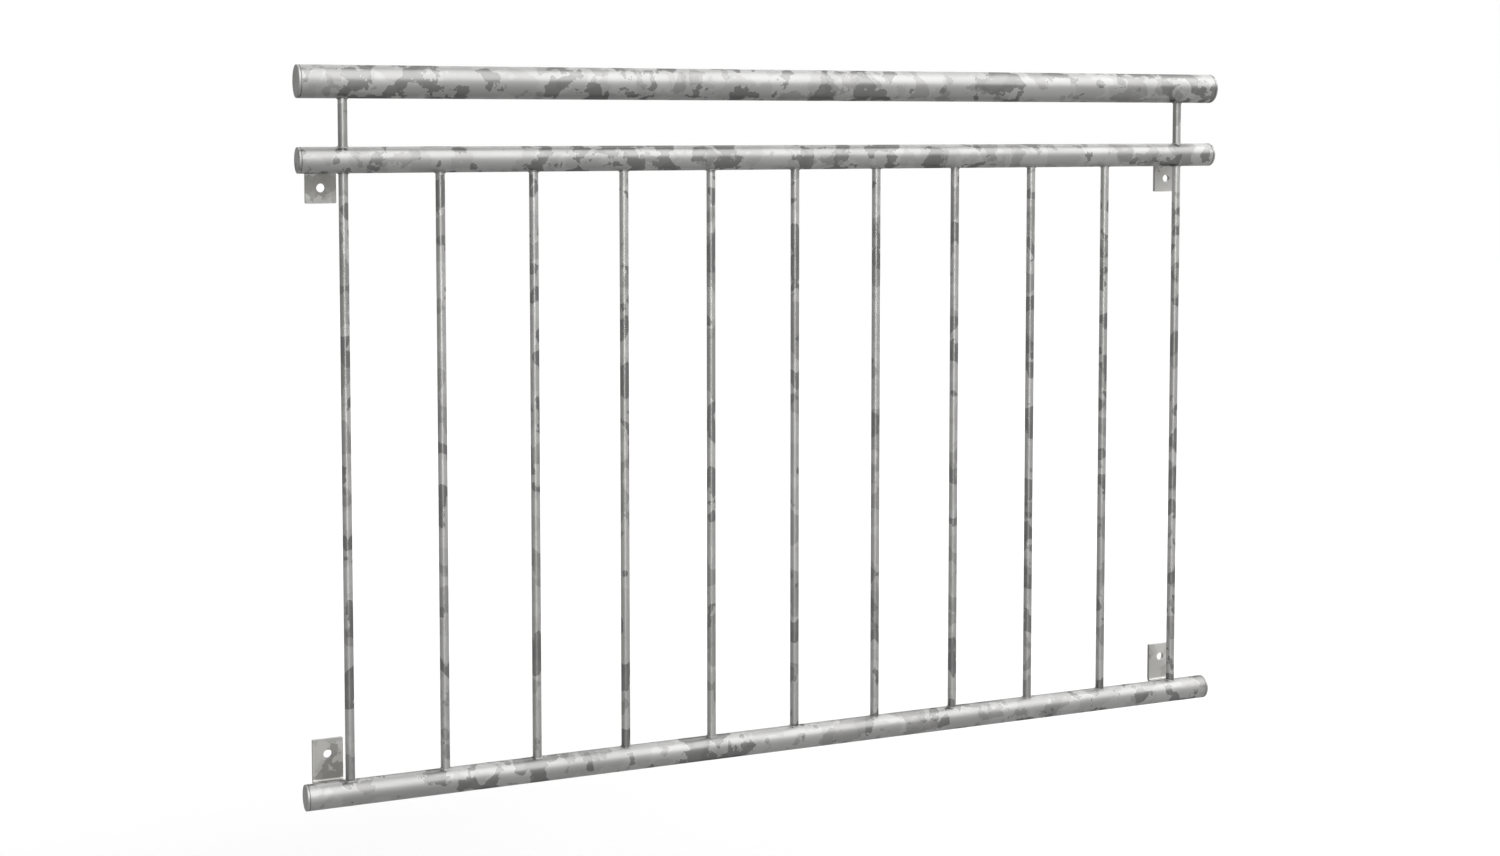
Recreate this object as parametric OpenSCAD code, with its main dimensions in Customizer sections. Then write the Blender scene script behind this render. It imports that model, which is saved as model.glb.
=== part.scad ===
// French balcony railing: three round tubes, eleven round bars and four wall brackets.
// X runs along the rail, Y points into the wall, Z is up.
// The origin lies on the wall face of the lower left bracket, midway between its leg and its hole.

/* [Frame] */
// Number of upright bars, the two end bars included
bar_count = 11; // [4:1:14]
// Distance between the axes of neighbouring bars
bar_pitch = 126; // [80:1:140]
// Distance from an end bar's axis to the outer face of the end caps
end_overhang = 58.5; // [45:0.5:120]
// Distance between the axes of the lower and the upper chord
chord_spacing = 815; // [300:5:1100]
// Distance between the axes of the upper chord and the handrail
handrail_rise = 99; // [70:1:200]

/* [Tubes] */
// Outside diameter of the handrail tube
handrail_d = 42.4; // [34:0.1:60.3]
// Outside diameter of the two chord tubes
chord_d = 33.7; // [28:0.1:48.3]
// Wall thickness of all three tubes
tube_wall = 2.6; // [2:0.1:4]

/* [Bars] */
// Diameter of the round bars
bar_d = 12; // [8:0.5:16]
// How far a bar's end stands inside the tube wall that it enters
bar_reach = 2; // [1:0.5:4]
// Gap all round a bar in its drilled hole
drill_fit = 0.2; // [0.1:0.05:0.4]

/* [End caps] */
// Thickness of a cap's rim outside the tube
cap_t = 3; // [2:0.5:6]
// Rounding of a cap's outer edge
cap_edge_r = 0.8; // [0.3:0.1:1.2]
// Width of the fine groove between a cap's rim and the tube
cap_groove = 0.15; // [0.1:0.05:0.8]
// Length of the spigot inside the tube
spigot_l = 14; // [8:1:25]
// Wall thickness of the spigot
spigot_wall = 2; // [1.5:0.5:4]
// Gap all round the spigot in the tube
spigot_fit = 0.15; // [0.1:0.05:0.4]

/* [Brackets] */
// Width of the flat bar that the brackets are bent from
bracket_w = 40; // [30:1:60]
// Thickness of that flat bar
bracket_t = 5; // [4:0.5:8]
// Inside radius of the bend
bend_r = 3; // [1:0.5:6]
// Height of the wall plate over the outside of the leg
plate_h = 60; // [50:1:100]
// Clear distance from the wall to the back of the chords
wall_gap = 40; // [25:1:80]
// Distance from the outer face of the end caps to a bracket's centre line
bracket_inset = 41; // [32:1:90]
// How far the middle of a bracket's leg sits above its chord's axis
leg_lift = 1; // [-2:0.5:2]
// Diameter of the hole for the wall bolt
bolt_hole_d = 11.5; // [8:0.5:14]
// Distance from the free edge of the plate to the hole's centre
bolt_edge = 20; // [12:1:26]
// Rounding of the plate's two free corners
corner_r = 1.5; // [0.5:0.5:6]

/* [Welds] */
// Radius of the round weld beads
weld_r = 1.7; // [1.2:0.1:3]
// Gap between a bead and the faces that it lies on
weld_fit = 0.1; // [0.05:0.05:0.2]
// How far a bead on a bracket's leg stops short of the leg's side
bead_inset = 2; // [1:0.5:6]

/* [Hidden] */

$fn = 64;
// Small overrun of a cutting tool past the face that it cuts
cut = 1;

handrail_r = handrail_d / 2;
chord_r = chord_d / 2;
bar_r = bar_d / 2;

// Heights over the origin
hole_z = (plate_h - bolt_edge) / 2;
lower_z = bracket_t / 2 - hole_z - leg_lift;
upper_z = lower_z + chord_spacing;
handrail_z = upper_z + handrail_rise;

// Depth of the plane that holds all tube and bar axes
axis_y = -(wall_gap + chord_r);

// Places along the rail
left_x = -bracket_inset;
right_x = left_x + 2 * end_overhang + (bar_count - 1) * bar_pitch;
right_bracket_x = right_x - bracket_inset;
tube_start = left_x + cap_t + cap_groove;
tube_end = right_x - cap_t - cap_groove;

function bar_x(i) = left_x + end_overhang + i * bar_pitch;

steel = [0.66, 0.67, 0.67];
steel_dark = [0.52, 0.53, 0.53];
weld_grey = [0.60, 0.61, 0.61];

// A cylinder along X, given by its start and its end
module rod_x(r, x1, x2) {
    translate([x1, 0, 0]) rotate([0, 90, 0]) cylinder(r = r, h = x2 - x1);
}

// A cylinder along Z, given by its start and its end
module rod_z(r, z1, z2) {
    translate([0, 0, z1]) cylinder(r = r, h = z2 - z1);
}

// A capped tube along X with its axis at height z, drilled by its children
module tube(d, z) {
    translate([0, axis_y, z])
        difference() {
            rod_x(d / 2, tube_start, tube_end);
            rod_x(d / 2 - tube_wall, tube_start - cut, tube_end + cut);
            children();
        }
}

// Drilled hole in a tube's wall for bar i, below the axis with side = -1 and above it with side = 1
module drilled(i, d, side) {
    translate([bar_x(i), 0, side > 0 ? 0 : -(d / 2 + cut)])
        cylinder(r = bar_r + drill_fit, h = d / 2 + cut);
}

module handrail() {
    color(steel) tube(handrail_d, handrail_z)
        for (i = [0, bar_count - 1]) drilled(i, handrail_d, -1);
}

module upper_chord() {
    color(steel) tube(chord_d, upper_z) {
        for (i = [0:bar_count - 1]) drilled(i, chord_d, -1);
        for (i = [0, bar_count - 1]) drilled(i, chord_d, 1);
    }
}

module lower_chord() {
    color(steel) tube(chord_d, lower_z)
        for (i = [0:bar_count - 1]) drilled(i, chord_d, 1);
}

// Half section of a cap: rim with a rounded outer edge, and a hollow spigot
module cap_section(d) {
    difference() {
        union() {
            square([d / 2 - cap_edge_r, cap_t]);
            translate([0, cap_edge_r]) square([d / 2, cap_t - cap_edge_r]);
            translate([d / 2 - cap_edge_r, cap_edge_r]) circle(r = cap_edge_r);
            square([d / 2 - tube_wall - spigot_fit, cap_t + cap_groove + spigot_l]);
        }
        translate([-cut, cap_t]) square([cut + d / 2 - tube_wall - spigot_fit - spigot_wall, spigot_l + cut]);
        translate([-d, -cut]) square([d, spigot_l + cap_t + 3 * cut]);
    }
}

// A cap for a tube of diameter d, closing its left or its right end
module end_cap(d, z, right) {
    color(steel_dark)
        translate([right ? right_x : left_x, axis_y, z])
            rotate([0, right ? -90 : 90, 0]) rotate_extrude() cap_section(d);
}

// A bar between the two chords
module middle_bar(i) {
    color(steel)
        translate([bar_x(i), axis_y, 0])
            rod_z(bar_r, lower_z + chord_r - tube_wall - bar_reach, upper_z - chord_r + tube_wall + bar_reach);
}

// An end bar, which runs on through the upper chord into the handrail
module end_bar(i) {
    color(steel)
        translate([bar_x(i), axis_y, 0])
            rod_z(bar_r, lower_z + chord_r - tube_wall - bar_reach,
                  handrail_z - handrail_r + tube_wall + bar_reach);
}

// Side view of a bracket, with the leg's centre at height 0 and the plate standing up along the wall
module bracket_section() {
    outer_r = bend_r + bracket_t;
    low = -bracket_t / 2;
    difference() {
        union() {
            translate([axis_y, low]) square([-axis_y - outer_r, bracket_t]);
            translate([-bracket_t, low + outer_r]) square([bracket_t, plate_h - outer_r]);
            translate([-outer_r, low + outer_r]) circle(r = outer_r);
        }
        translate([-outer_r, low + outer_r]) circle(r = bend_r);
        translate([axis_y, low + bracket_t]) square([-axis_y - outer_r, 2 * outer_r]);
        translate([-outer_r - cut, low + outer_r]) square([cut + outer_r - bracket_t, outer_r + cut]);
    }
}

// A bracket on the chord at height z, with its plate up (way = 1) or down (way = -1)
module bracket(x, z, way) {
    color(steel)
        translate([x, 0, z + leg_lift]) scale([1, 1, way])
            difference() {
                translate([-bracket_w / 2, 0, 0])
                    rotate([90, 0, 90]) linear_extrude(height = bracket_w) bracket_section();
                translate([0, axis_y, -way * leg_lift]) rod_x(chord_r + weld_fit, -bracket_w, bracket_w);
                translate([0, cut, plate_h - bracket_t / 2 - bolt_edge])
                    rotate([90, 0, 0]) cylinder(r = bolt_hole_d / 2, h = bracket_t + 2 * cut);
                for (side = [-1, 1])
                    translate([side * bracket_w / 2, 0, plate_h - bracket_t / 2])
                        plate_corner(side);
            }
}

// What is taken off a plate's free corner to round it
module plate_corner(side) {
    difference() {
        translate([-corner_r, -bracket_t - cut, -corner_r])
            cube([2 * corner_r, bracket_t + 2 * cut, 2 * corner_r]);
        translate([-side * corner_r, 2 * cut, -corner_r])
            rotate([90, 0, 0]) cylinder(r = corner_r, h = bracket_t + 4 * cut);
    }
}

// A weld bead round bar i where it meets a tube of radius r, on the tube's upper or lower side
module bar_weld(i, r, z, side) {
    color(weld_grey)
        translate([bar_x(i), axis_y, z]) scale([1, 1, side])
            difference() {
                translate([0, 0, r - weld_r / 3])
                    rotate_extrude() translate([bar_r + weld_r / 4, 0]) circle(r = weld_r);
                rod_z(bar_r + weld_fit, 0, r + 2 * weld_r);
                rod_x(r + weld_fit, -bar_d, bar_d);
            }
}

// The beads above and below a bracket's leg, along the back of its chord
module leg_welds(x, z) {
    half = bracket_w / 2 - bead_inset - weld_r;
    color(weld_grey)
        translate([x, axis_y, z])
            difference() {
                for (side = [-1, 1])
                    translate([0, chord_r, leg_lift + side * bracket_t / 2]) {
                        rod_x(weld_r, -half, half);
                        for (end = [-half, half]) translate([end, 0, 0]) sphere(r = weld_r);
                    }
                rod_x(chord_r + weld_fit, -bracket_w, bracket_w);
                translate([-bracket_w, 0, leg_lift - bracket_t / 2 - weld_fit])
                    cube([2 * bracket_w, chord_d, bracket_t + 2 * weld_fit]);
            }
}

module handrail_welds() {
    for (i = [0, bar_count - 1]) bar_weld(i, handrail_r, handrail_z, -1);
}

module upper_chord_welds() {
    for (i = [0:bar_count - 1]) bar_weld(i, chord_r, upper_z, -1);
    for (i = [0, bar_count - 1]) bar_weld(i, chord_r, upper_z, 1);
}

module lower_chord_welds() {
    for (i = [0:bar_count - 1]) bar_weld(i, chord_r, lower_z, 1);
}

module bracket_welds() {
    for (x = [0, right_bracket_x], z = [lower_z, upper_z]) leg_welds(x, z);
}

handrail();
upper_chord();
lower_chord();
end_cap(handrail_d, handrail_z, false);  // handrail_cap_left
end_cap(handrail_d, handrail_z, true);  // handrail_cap_right
end_cap(chord_d, upper_z, false);  // upper_chord_cap_left
end_cap(chord_d, upper_z, true);  // upper_chord_cap_right
end_cap(chord_d, lower_z, false);  // lower_chord_cap_left
end_cap(chord_d, lower_z, true);  // lower_chord_cap_right
end_bar(0);  // end_bar_left
end_bar(bar_count - 1);  // end_bar_right
for (i = [1:bar_count - 2])
    middle_bar(i);
bracket(0, upper_z, -1);  // upper_bracket_left
bracket(right_bracket_x, upper_z, -1);  // upper_bracket_right
bracket(0, lower_z, 1);  // lower_bracket_left
bracket(right_bracket_x, lower_z, 1);  // lower_bracket_right
handrail_welds();
upper_chord_welds();
lower_chord_welds();
bracket_welds();
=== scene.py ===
import math

import bmesh
import bpy
from mathutils import Matrix, Vector


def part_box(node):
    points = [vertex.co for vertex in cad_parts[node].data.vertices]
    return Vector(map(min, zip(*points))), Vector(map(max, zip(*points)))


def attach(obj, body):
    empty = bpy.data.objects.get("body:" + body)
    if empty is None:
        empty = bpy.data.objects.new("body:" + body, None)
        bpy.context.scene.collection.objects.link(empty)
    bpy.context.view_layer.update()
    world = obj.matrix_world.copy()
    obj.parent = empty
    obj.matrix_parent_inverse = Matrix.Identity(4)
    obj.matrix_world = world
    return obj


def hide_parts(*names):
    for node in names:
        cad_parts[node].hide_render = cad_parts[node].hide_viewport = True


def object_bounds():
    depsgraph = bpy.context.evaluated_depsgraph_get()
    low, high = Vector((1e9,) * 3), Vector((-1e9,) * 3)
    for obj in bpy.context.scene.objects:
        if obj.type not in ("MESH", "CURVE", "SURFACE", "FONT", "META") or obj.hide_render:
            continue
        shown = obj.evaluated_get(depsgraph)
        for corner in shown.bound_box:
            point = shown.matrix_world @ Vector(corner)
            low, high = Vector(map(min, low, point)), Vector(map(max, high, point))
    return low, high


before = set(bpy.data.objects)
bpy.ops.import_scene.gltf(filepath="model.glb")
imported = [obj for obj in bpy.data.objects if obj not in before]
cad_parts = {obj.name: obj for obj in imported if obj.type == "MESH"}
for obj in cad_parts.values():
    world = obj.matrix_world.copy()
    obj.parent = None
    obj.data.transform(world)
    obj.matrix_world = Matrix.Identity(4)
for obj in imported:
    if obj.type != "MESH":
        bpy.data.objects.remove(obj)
CAD_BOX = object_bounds()

# Camera: place and angles that were fitted to the photo, in metres and degrees
IMAGE_W, IMAGE_H = 1500, 856
CAMERA_PLACE = Vector((-0.5932, -2.7480, 0.8389))
CAMERA_YAW = 23.547
CAMERA_PITCH = 3.621
FOCAL_PX = 2139.5
CENTRE_ROW = 261.9
SENSOR_MM = 36.0

# Floor: its depth under the railing and its side, in metres, and what it scatters onto the railing
FLOOR_DROP = 0.30
FLOOR_SIZE = 24.0
FLOOR_LIT = (0.6, 0.6, 0.6, 1.0)

# Where the floor is seen it glows less in its middle, so that the light which the railing takes
# away shows there. The glow grows to white between two distances from the middle, in metres
FLOOR_GLOW = (0.65, 1.0)
FLOOR_SCATTER = (0.3, 0.3, 0.3, 1.0)
SHADOW_FADE = (0.8, 4.5)

# Light: the even grey of the room, and the point that the lamps face
WHITE = (1.0, 1.0, 1.0, 1.0)
ROOM_LEVEL = 0.28
MIDDLE = Vector((0.65, -0.05, 0.45))

# Light, middle and dark patches of the zinc, each with its colour and its share of metal:
# the darker the patch, the less it scatters and the more it mirrors
TUBE_ZINC = (((0.300, 0.299, 0.295), 0.42), ((0.216, 0.215, 0.211), 0.54), ((0.136, 0.136, 0.134), 0.88))
BAR_ZINC = (((0.315, 0.314, 0.308), 0.55), ((0.215, 0.214, 0.209), 0.66), ((0.137, 0.137, 0.135), 0.86))
# The bracket zinc is paler than the tube zinc partly as painted light, which makes up for the shade that the
# brackets sit in
PLATE_ZINC_WITH_PAINTED_LIGHT = (((0.530, 0.526, 0.508), 0.26), ((0.445, 0.441, 0.424), 0.28), ((0.345, 0.341, 0.325), 0.32))
CAP_ZINC = (((0.300, 0.299, 0.292), 0.40), ((0.250, 0.249, 0.244), 0.46), ((0.190, 0.190, 0.186), 0.60))

# Pattern of the patches: noise cells per metre, the noise's detail and roughness, how far it is
# warped, how soft a patch's edge is, and cells per metre of the clumps that patches stand in
PATCH_SCALE = 32.0
PATCH_DETAIL = 6.0
PATCH_RAGGED = 0.54
PATCH_WARP = 0.15
PATCH_EDGE = 0.007
CLUMP_SCALE = 6.0

# Where the noise turns into dark, middle and pale patches, and how strongly each kind crowds
DARK_FROM = 0.567
DARK_CROWD = 0.30
MIDDLE_FROM = 0.57
MIDDLE_CROWD = 0.35
PALE_FROM = 0.50
PALE_CROWD = 0.0

# Cells per metre of the middle and pale patches as a share of those of the dark ones, and offsets
# that part the three patterns
MIDDLE_SCALE = 0.8
PALE_SCALE = 0.9
DARK_OFFSET = 4.7
PALE_OFFSET = 9.1

# Fine grain and broad clouds: cells per metre, and what they and the pale patches do to the colour
GRAIN_SCALE = 420.0
CLOUD_SCALE = 14.0
GRAIN_SHADE = (0.94, 1.06)
CLOUD_SHADE = (0.88, 1.12)
PALE_SHADE = (0.94, 1.06)

# Roughness of light and dark zinc, what the grain adds to it, how high the grain stands, and the
# gloss, with a tint that keeps it dull at grazing angles
ZINC_ROUGH = (0.43, 0.36)
GRAIN_ROUGH = (-0.04, 0.04)
GRAIN_BUMP = 0.025
GRAIN_HEIGHT = 0.0005
ZINC_IOR = 1.25
EDGE_TINT = (0.3, 0.3, 0.3, 1.0)

# Painted shadow of the groove at a cap's seam, a hair line: distances from its middle where it starts and
# ends to fade, in metres
SEAM_SHADOW_LINE = (0.0004, 0.0010)
SEAM_SHADOW_RANGE = (0.2, 1.0)

# Painted shade on the faces of the flat bar that look left or right: how far a face looks sideways, and the
# shade that it gets
SIDEWAYS_FACING = (0.6, 0.8)
SIDEWAYS_PAINTED_SHADE = (1.0, 0.55)

# Weld beads: radius, sink into the tube and pitch of the ripples in metres; depth of a ripple,
# distance from the bar and size of a bead's end as shares of the radius
BEAD_R = 0.0012
BEAD_SINK = 0.0001
RIPPLE_PITCH = 0.0026
RIPPLE = 0.16
BAR_DISTANCE = 0.3
END_SIZE = 0.45
END_GROWTH = 0.11

# Points of a bead: round its section, round a bar, and pairs of them along each ripple of a leg
BEAD_SIDES = 8
RING_STEPS = 96
RIPPLE_PAIRS = 4

# Nodes that are plain tubes
TUBES = ("handrail", "upper_chord", "lower_chord")


def emptied_tree(owner):
    """The node tree of a new material or world, with no node in it."""
    owner.use_nodes = True
    owner.node_tree.nodes.clear()
    return owner.node_tree


def feed(tree, socket, value):
    """Links a socket to another one, or sets its value."""
    if isinstance(value, bpy.types.NodeSocket):
        tree.links.new(value, socket)
    else:
        socket.default_value = value


def put(tree, kind, settings=None, **inputs):
    """Adds a node, sets its properties, and sets or links its inputs by name."""
    made = tree.nodes.new(kind)
    for key, value in (settings or {}).items():
        setattr(made, key, value)
    for key, value in inputs.items():
        feed(tree, made.inputs[key.replace("_", " ")], value)
    return made


def calculate(tree, operation, first, second):
    """One step of arithmetic on two values."""
    made = put(tree, "ShaderNodeMath", {"operation": operation})
    feed(tree, made.inputs[0], first)
    feed(tree, made.inputs[1], second)
    return made.outputs[0]


def product(tree, factors):
    """All factors multiplied."""
    total = factors[0]
    for factor in factors[1:]:
        total = calculate(tree, "MULTIPLY", total, factor)
    return total


def shifted_position(tree, offset):
    """The point on the object in metres, moved by an offset so that each pattern differs."""
    place = put(tree, "ShaderNodeTexCoord")
    moved = put(tree, "ShaderNodeMapping", Vector=place.outputs["Object"], Location=offset)
    return moved.outputs["Vector"]


def noise(tree, offset, scale, detail, roughness, distortion=0.0):
    """Noise from 0 to 1 on the object; scale is in cells per metre."""
    made = put(tree, "ShaderNodeTexNoise", Vector=shifted_position(tree, offset), Scale=scale,
               Detail=detail, Roughness=roughness, Distortion=distortion)
    return made.outputs["Fac"]


def step(tree, value, low, high):
    """0 below low, 1 above high."""
    made = put(tree, "ShaderNodeMapRange", {"clamp": True}, Value=value)
    made.inputs["From Min"].default_value = low
    made.inputs["From Max"].default_value = high
    return made.outputs["Result"]


def span(tree, value, low, high):
    """Takes 0..1 to low..high."""
    made = put(tree, "ShaderNodeMapRange", {"clamp": True}, Value=value)
    made.inputs["To Min"].default_value = low
    made.inputs["To Max"].default_value = high
    return made.outputs["Result"]


def mix_colour(tree, factor, first, second):
    """The first colour where the factor is 0, the second where it is 1."""
    made = tree.nodes.new("ShaderNodeMix")
    made.data_type = "RGBA"
    feed(tree, made.inputs[0], factor)
    for socket, value in ((made.inputs[6], first), (made.inputs[7], second)):
        feed(tree, socket, value if isinstance(value, bpy.types.NodeSocket) else (*value, 1.0))
    return made.outputs[2]


def mix_value(tree, factor, first, second):
    """The first value where the factor is 0, the second where it is 1."""
    made = tree.nodes.new("ShaderNodeMix")
    for slot, value in ((0, factor), (2, first), (3, second)):
        feed(tree, made.inputs[slot], value)
    return made.outputs[0]


def patches(tree, seed, scale, crowd, threshold, ragged):
    """Crystal patches with ragged edges that stand in clumps, with quiet stretches between. The
    clumps average a half, so the edge rises by half of the weight that they get."""
    shape = noise(tree, (seed, 0.3, 0.7), scale, PATCH_DETAIL, ragged, PATCH_WARP)
    clumps = noise(tree, (0.4, seed, 1.9), CLUMP_SCALE, detail=1.0, roughness=0.5)
    lifted = calculate(tree, "ADD", shape, calculate(tree, "MULTIPLY", clumps, crowd))
    edge = threshold + 0.5 * crowd
    return step(tree, lifted, edge, edge + PATCH_EDGE)


def painted_seam_shadow(tree, ends):
    """Painted shadow: darkens a hair line round a tube where its caps begin, for the shade in the groove
    there; 1 elsewhere.
    """
    place = put(tree, "ShaderNodeTexCoord")
    along = put(tree, "ShaderNodeSeparateXYZ", Vector=place.outputs["Object"]).outputs["X"]
    gaps = [calculate(tree, "ABSOLUTE", calculate(tree, "SUBTRACT", along, end), 0.0) for end in ends]
    nearest = calculate(tree, "MINIMUM", *gaps)
    return span(tree, step(tree, nearest, *SEAM_SHADOW_LINE), *SEAM_SHADOW_RANGE)


def painted_sideways_shade(tree):
    """Painted shade: darkens the faces of a flat bar that look left or right; 1 elsewhere."""
    place = put(tree, "ShaderNodeTexCoord")
    sideways = put(tree, "ShaderNodeSeparateXYZ", Vector=place.outputs["Normal"]).outputs["X"]
    facing = calculate(tree, "ABSOLUTE", sideways, 0.0)
    return span(tree, step(tree, facing, *SIDEWAYS_FACING), *SIDEWAYS_PAINTED_SHADE)


def galvanised(name, seed, tones=TUBE_ZINC, scale=PATCH_SCALE, mid_from=MIDDLE_FROM,
               dark_from=DARK_FROM, crowd=DARK_CROWD, ragged=PATCH_RAGGED, seams=None, shade_sideways_faces=False):
    """Zinc with the light, middle and dark patches of its crystals, ragged at their edges."""
    material = bpy.data.materials.new(name)
    tree = emptied_tree(material)
    output = put(tree, "ShaderNodeOutputMaterial")
    shader = put(tree, "ShaderNodeBsdfPrincipled")
    feed(tree, output.inputs["Surface"], shader.outputs["BSDF"])

    mid_mask = patches(tree, seed, scale * MIDDLE_SCALE, MIDDLE_CROWD, mid_from, ragged)
    dark_mask = patches(tree, seed + DARK_OFFSET, scale, crowd, dark_from, ragged)
    pale_mask = patches(tree, seed + PALE_OFFSET, scale * PALE_SCALE, PALE_CROWD, PALE_FROM, ragged)
    grain = noise(tree, (0.0, 0.0, seed), GRAIN_SCALE, detail=3.0, roughness=0.6)
    cloud = noise(tree, (seed, seed, 0.0), CLOUD_SCALE, detail=4.0, roughness=0.55)

    (light, metal_light), (middle, metal_middle), (dark, metal_dark) = tones
    colour = mix_colour(tree, mid_mask, light, middle)
    colour = mix_colour(tree, dark_mask, colour, dark)
    shades = [span(tree, grain, *GRAIN_SHADE), span(tree, cloud, *CLOUD_SHADE)]
    shades.append(span(tree, pale_mask, *PALE_SHADE))
    # Painted shadow in the groove at the caps' seams
    if seams:
        shades.append(painted_seam_shadow(tree, seams))
    # Painted shade on the faces that look left or right
    if shade_sideways_faces:
        shades.append(painted_sideways_shade(tree))
    scaled = put(tree, "ShaderNodeVectorMath", {"operation": "SCALE"}, Scale=product(tree, shades))
    feed(tree, scaled.inputs[0], colour)
    feed(tree, shader.inputs["Base Color"], scaled.outputs[0])

    metal = mix_value(tree, mid_mask, metal_light, metal_middle)
    feed(tree, shader.inputs["Metallic"], mix_value(tree, dark_mask, metal, metal_dark))
    rough = calculate(tree, "ADD", span(tree, dark_mask, *ZINC_ROUGH), span(tree, grain, *GRAIN_ROUGH))
    feed(tree, shader.inputs["Roughness"], rough)
    shader.inputs["IOR"].default_value = ZINC_IOR
    shader.inputs["Specular Tint"].default_value = EDGE_TINT

    bump = put(tree, "ShaderNodeBump", Height=grain, Strength=GRAIN_BUMP, Distance=GRAIN_HEIGHT)
    feed(tree, shader.inputs["Normal"], bump.outputs["Normal"])
    return material


def paint(obj, material):
    """Gives a piece its material."""
    obj.data.materials.clear()
    obj.data.materials.append(material)


def axis_of(name):
    """Middle of a node's box and half its height, which is a tube's radius."""
    low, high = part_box(name)
    return (low + high) / 2, (high.z - low.z) / 2


def sweep(mesh, points, ups, closed):
    """A rippled bead along points; ups holds the direction of the bead's crown at each."""
    count = len(points)
    travelled = 0.0
    rings = []
    for i, point in enumerate(points):
        before = points[i - 1] if closed or i else point
        after = points[(i + 1) % count] if closed or i + 1 < count else point
        travelled += (point - before).length if i else 0.0
        ahead = (after - before).normalized()
        out = ahead.cross(ups[i]).normalized()
        crown = out.cross(ahead)
        phase = travelled / RIPPLE_PITCH % 1.0
        radius = BEAD_R * (1.0 - RIPPLE * phase)
        if not closed:
            radius *= min(1.0, END_SIZE + END_GROWTH * min(i, count - 1 - i))
        ring = []
        for k in range(BEAD_SIDES):
            turn = math.tau * k / BEAD_SIDES
            ring.append(mesh.verts.new(point + radius * (math.cos(turn) * out + math.sin(turn) * crown)))
        rings.append(ring)
    for first, second in zip(rings, rings[1:] + rings[:1] if closed else rings[1:]):
        for k in range(BEAD_SIDES):
            following = (k + 1) % BEAD_SIDES
            mesh.faces.new((first[k], first[following], second[following], second[k]))
    if not closed:
        mesh.faces.new(rings[0][::-1])
        mesh.faces.new(rings[-1])


def ring_bead(mesh, bar, tube, side):
    """The bead round a bar where it enters a tube from above (side 1) or from below (side -1)."""
    low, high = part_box(bar)
    axis, tube_r = axis_of(tube)
    centre_x = (low.x + high.x) / 2
    reach = (high.x - low.x) / 2 + BAR_DISTANCE * BEAD_R
    points, ups = [], []
    for i in range(RING_STEPS):
        turn = -side * math.tau * i / RING_STEPS
        out = Vector((math.cos(turn), math.sin(turn), 0.0))
        rise = math.sqrt(tube_r ** 2 - (reach * out.y) ** 2) - BEAD_SINK
        points.append(Vector((centre_x, axis.y, axis.z)) + reach * out + Vector((0.0, 0.0, side * rise)))
        ups.append(Vector((0.0, 0.0, side)))
    sweep(mesh, points, ups, closed=True)


def leg_heights(bracket):
    """Lower and upper face of a bracket's leg: the flat bar's thickness at the box's end by the tube."""
    low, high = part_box(bracket)
    heights = [v.co.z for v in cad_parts[bracket].data.vertices if v.co.y < (low.y + high.y) / 2]
    return min(heights), max(heights)


def leg_bead(mesh, bracket, tube, side):
    """The bead over (side 1) or under (side -1) a bracket's leg, along the back of its tube."""
    low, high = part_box(bracket)
    axis, tube_r = axis_of(tube)
    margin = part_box("bracket_welds")[0].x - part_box("lower_bracket_left")[0].x
    under, over = leg_heights(bracket)
    height = (over if side > 0 else under) - axis.z
    depth = axis.y + math.sqrt(tube_r ** 2 - height ** 2)
    start, end = low.x + margin + BEAD_R, high.x - margin - BEAD_R
    count = 2 * round((end - start) / RIPPLE_PITCH * RIPPLE_PAIRS)
    points = [Vector((start + (end - start) * i / count, depth, axis.z + height)) for i in range(count + 1)]
    sweep(mesh, points, [Vector((0.0, 1.0, side))] * (count + 1), closed=False)


def make_piece(name, node, build):
    """A new mesh piece that stands for a CAD node."""
    mesh = bmesh.new()
    build(mesh)
    bmesh.ops.recalc_face_normals(mesh, faces=mesh.faces)
    data = bpy.data.meshes.new(name)
    mesh.to_mesh(data)
    mesh.free()
    data.shade_smooth()
    piece = bpy.data.objects.new(name, data)
    bpy.context.collection.objects.link(piece)
    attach(piece, "root")
    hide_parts(node)
    return piece


def make_welds():
    """Rippled beads that follow the saddles where bars and tubes meet."""
    ends = ["end_bar_left", "end_bar_right"]
    bars = ends + sorted(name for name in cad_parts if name.startswith("middle_bar_"))

    def handrail(mesh):
        for bar in ends:
            ring_bead(mesh, bar, "handrail", -1)

    def upper_chord(mesh):
        for bar in bars:
            ring_bead(mesh, bar, "upper_chord", -1)
        for bar in ends:
            ring_bead(mesh, bar, "upper_chord", 1)

    def lower_chord(mesh):
        for bar in bars:
            ring_bead(mesh, bar, "lower_chord", 1)

    def brackets(mesh):
        for level in ("upper", "lower"):
            for end in ("left", "right"):
                for side in (-1, 1):
                    leg_bead(mesh, f"{level}_bracket_{end}", f"{level}_chord", side)

    return [make_piece("handrail_beads", "handrail_welds", handrail),
            make_piece("upper_chord_beads", "upper_chord_welds", upper_chord),
            make_piece("lower_chord_beads", "lower_chord_welds", lower_chord),
            make_piece("bracket_beads", "bracket_welds", brackets)]


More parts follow.
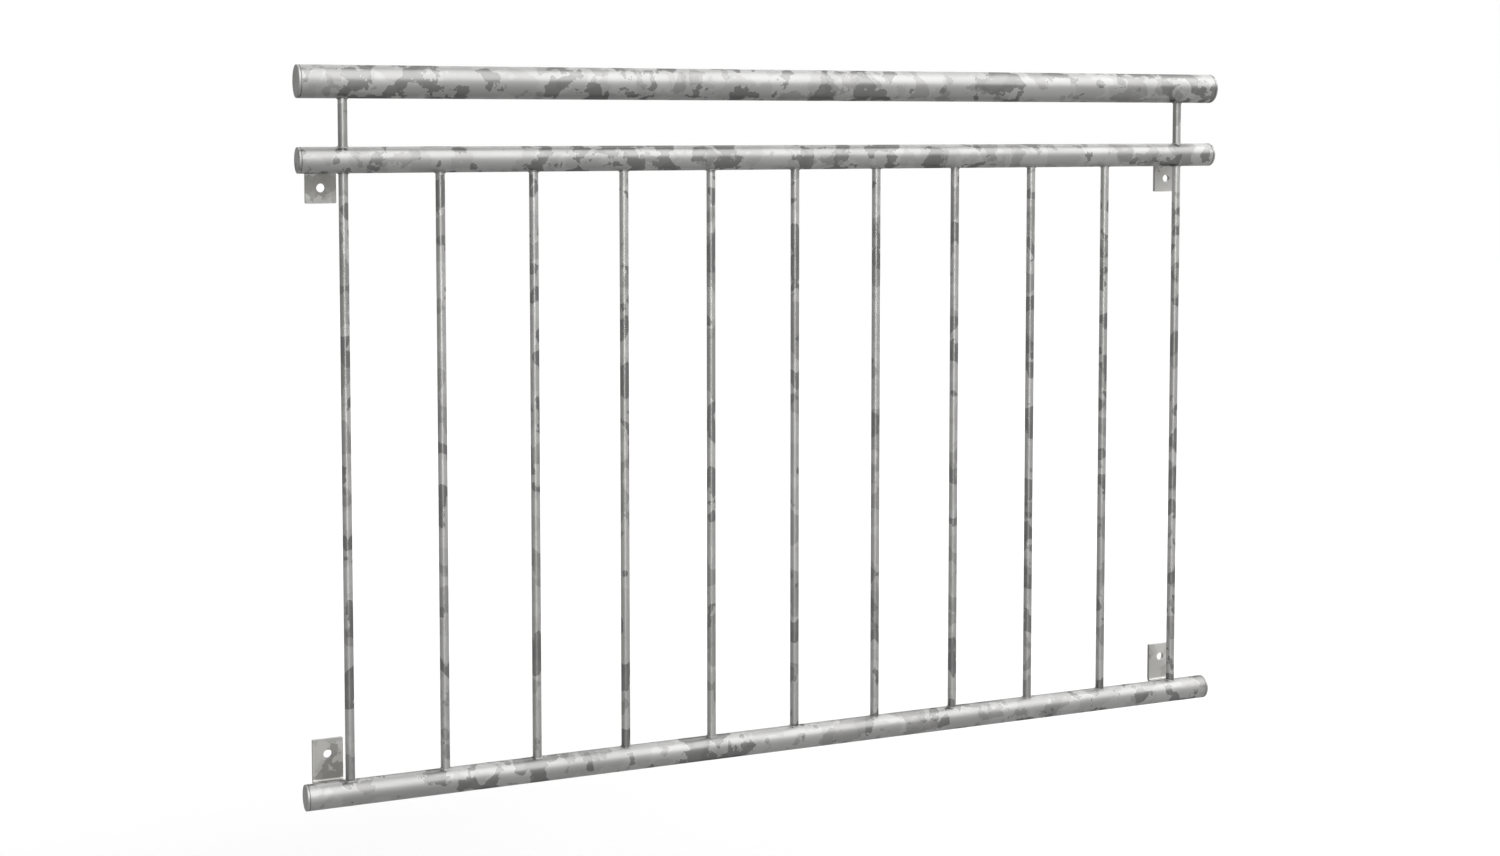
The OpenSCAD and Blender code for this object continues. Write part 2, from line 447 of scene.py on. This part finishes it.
def dress_nodes(beads):
    """Gives every piece its zinc."""
    low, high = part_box("handrail")
    tube = galvanised("zinc_tube", seed=3.1, seams=(low.x, high.x))
    bar = galvanised("zinc_bar", seed=7.7, tones=BAR_ZINC, scale=28.0, mid_from=0.55, dark_from=0.565,
                     crowd=0.25, ragged=0.44)
    cap = galvanised("zinc_cap", seed=11.3, tones=CAP_ZINC, scale=40.0)
    # Bracket zinc: paler partly as painted light
    plate = galvanised("zinc_bracket", seed=5.9, tones=PLATE_ZINC_WITH_PAINTED_LIGHT, shade_sideways_faces=True)
    weld = galvanised("zinc_weld", seed=9.2, scale=60.0)
    for bead in beads:
        paint(bead, weld)
    for name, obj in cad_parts.items():
        if "_cap_" in name:
            paint(obj, cap)
        elif "_bracket_" in name:
            paint(obj, plate)
        elif "_bar_" in name:
            paint(obj, bar)
        elif name in TUBES:
            paint(obj, tube)


def seen_directly(tree):
    """1 for camera, glossy and transmission rays, 0 for the rest."""
    path = put(tree, "ShaderNodeLightPath")
    total = path.outputs["Is Camera Ray"]
    for ray in ("Is Glossy Ray", "Is Transmission Ray"):
        total = calculate(tree, "MAXIMUM", total, path.outputs[ray])
    return total


def by_ray(tree, lighting, seen):
    """One shader for the rays that light the railing and one for the rays that see the surface."""
    blend = put(tree, "ShaderNodeMixShader")
    for socket, value in zip(blend.inputs, (seen_directly(tree), lighting, seen)):
        feed(tree, socket, value)
    return blend.outputs[0]


def make_floor():
    """A floor that is white where it is seen and keeps a soft shadow."""
    low = CAD_BOX[0][2] - FLOOR_DROP
    bpy.ops.mesh.primitive_plane_add(size=FLOOR_SIZE, location=(MIDDLE.x, 0.0, low))
    floor = bpy.context.object
    floor.name = "floor"
    material = bpy.data.materials.new("floor_white")
    tree = emptied_tree(material)
    output = put(tree, "ShaderNodeOutputMaterial")
    lit = put(tree, "ShaderNodeBsdfDiffuse", Color=FLOOR_LIT)
    scatter = put(tree, "ShaderNodeBsdfDiffuse", Color=FLOOR_SCATTER)
    place = put(tree, "ShaderNodeTexCoord")
    reach = put(tree, "ShaderNodeVectorMath", {"operation": "LENGTH"}, Vector=place.outputs["Object"])
    glow = span(tree, step(tree, reach.outputs["Value"], *SHADOW_FADE), *FLOOR_GLOW)
    white = put(tree, "ShaderNodeEmission", Color=WHITE, Strength=glow)
    seen = put(tree, "ShaderNodeAddShader")
    feed(tree, seen.inputs[0], white.outputs[0])
    feed(tree, seen.inputs[1], scatter.outputs[0])
    feed(tree, output.inputs["Surface"], by_ray(tree, lit.outputs[0], seen.outputs[0]))
    floor.data.materials.append(material)


def make_world():
    """White where it is seen, an even grey where it lights."""
    world = bpy.data.worlds.new("studio")
    bpy.context.scene.world = world
    tree = emptied_tree(world)
    output = put(tree, "ShaderNodeOutputWorld")
    room = put(tree, "ShaderNodeBackground", Color=WHITE, Strength=ROOM_LEVEL)
    seen = put(tree, "ShaderNodeBackground", Color=WHITE, Strength=1.0)
    feed(tree, output.inputs["Surface"], by_ray(tree, room.outputs[0], seen.outputs[0]))


def add_softbox(name, azimuth, elevation, distance, width, height, radiance):
    """A lamp that faces the railing, with its angles in degrees and its sizes in metres. Azimuth 0
    is straight in front of the railing and 90 off its right end; radiance is that of its face."""
    around, above = math.radians(azimuth), math.radians(elevation)
    away = Vector((math.sin(around) * math.cos(above), -math.cos(around) * math.cos(above), math.sin(above)))
    data = bpy.data.lights.new(name, "AREA")
    data.shape = "RECTANGLE"
    data.size = width
    data.size_y = height
    data.energy = radiance * math.pi * width * height
    lamp = bpy.data.objects.new(name, data)
    bpy.context.collection.objects.link(lamp)
    lamp.location = MIDDLE + distance * away
    lamp.rotation_euler = away.to_track_quat("Z", "Y").to_euler()
    return lamp


def make_lights():
    """Softboxes that light the railing, and a card and a strip that show only in its gloss."""
    key = add_softbox("key_softbox", azimuth=20, elevation=46, distance=4.0, width=5.0, height=3.0,
                      radiance=2.2)
    key.visible_glossy = False
    card = add_softbox("key_card", azimuth=28, elevation=53, distance=8.0, width=12.0, height=10.0,
                       radiance=4.35)
    card.visible_diffuse = False
    strip = add_softbox("front_strip", azimuth=-20, elevation=10, distance=4.0, width=0.7, height=3.2,
                        radiance=14.0)
    strip.visible_diffuse = False
    add_softbox("side_softbox", azimuth=98, elevation=30, distance=4.0, width=4.2, height=4.2,
                radiance=2.1)
    add_softbox("rear_softbox", azimuth=165, elevation=48, distance=4.0, width=5.0, height=3.0,
                radiance=2.2)


def make_camera():
    """Looks along the photo's direction; the shift holds the photo's off-centre crop."""
    yaw, pitch = math.radians(CAMERA_YAW), math.radians(CAMERA_PITCH)
    ahead = Vector((math.sin(yaw) * math.cos(pitch), math.cos(yaw) * math.cos(pitch), -math.sin(pitch)))
    right = Vector((math.cos(yaw), -math.sin(yaw), 0.0))
    up = right.cross(ahead)
    data = bpy.data.cameras.new("camera")
    data.sensor_width = SENSOR_MM
    data.lens = FOCAL_PX / IMAGE_W * SENSOR_MM
    data.shift_y = (CENTRE_ROW - IMAGE_H / 2) / IMAGE_W
    camera = bpy.data.objects.new("camera", data)
    bpy.context.collection.objects.link(camera)
    turn = Matrix((right, up, -ahead)).transposed()
    camera.matrix_world = Matrix.Translation(CAMERA_PLACE) @ turn.to_4x4()
    bpy.context.scene.camera = camera


make_camera()
make_world()
make_lights()
make_floor()
dress_nodes(make_welds())
bpy.context.scene.view_settings.view_transform = "Standard"
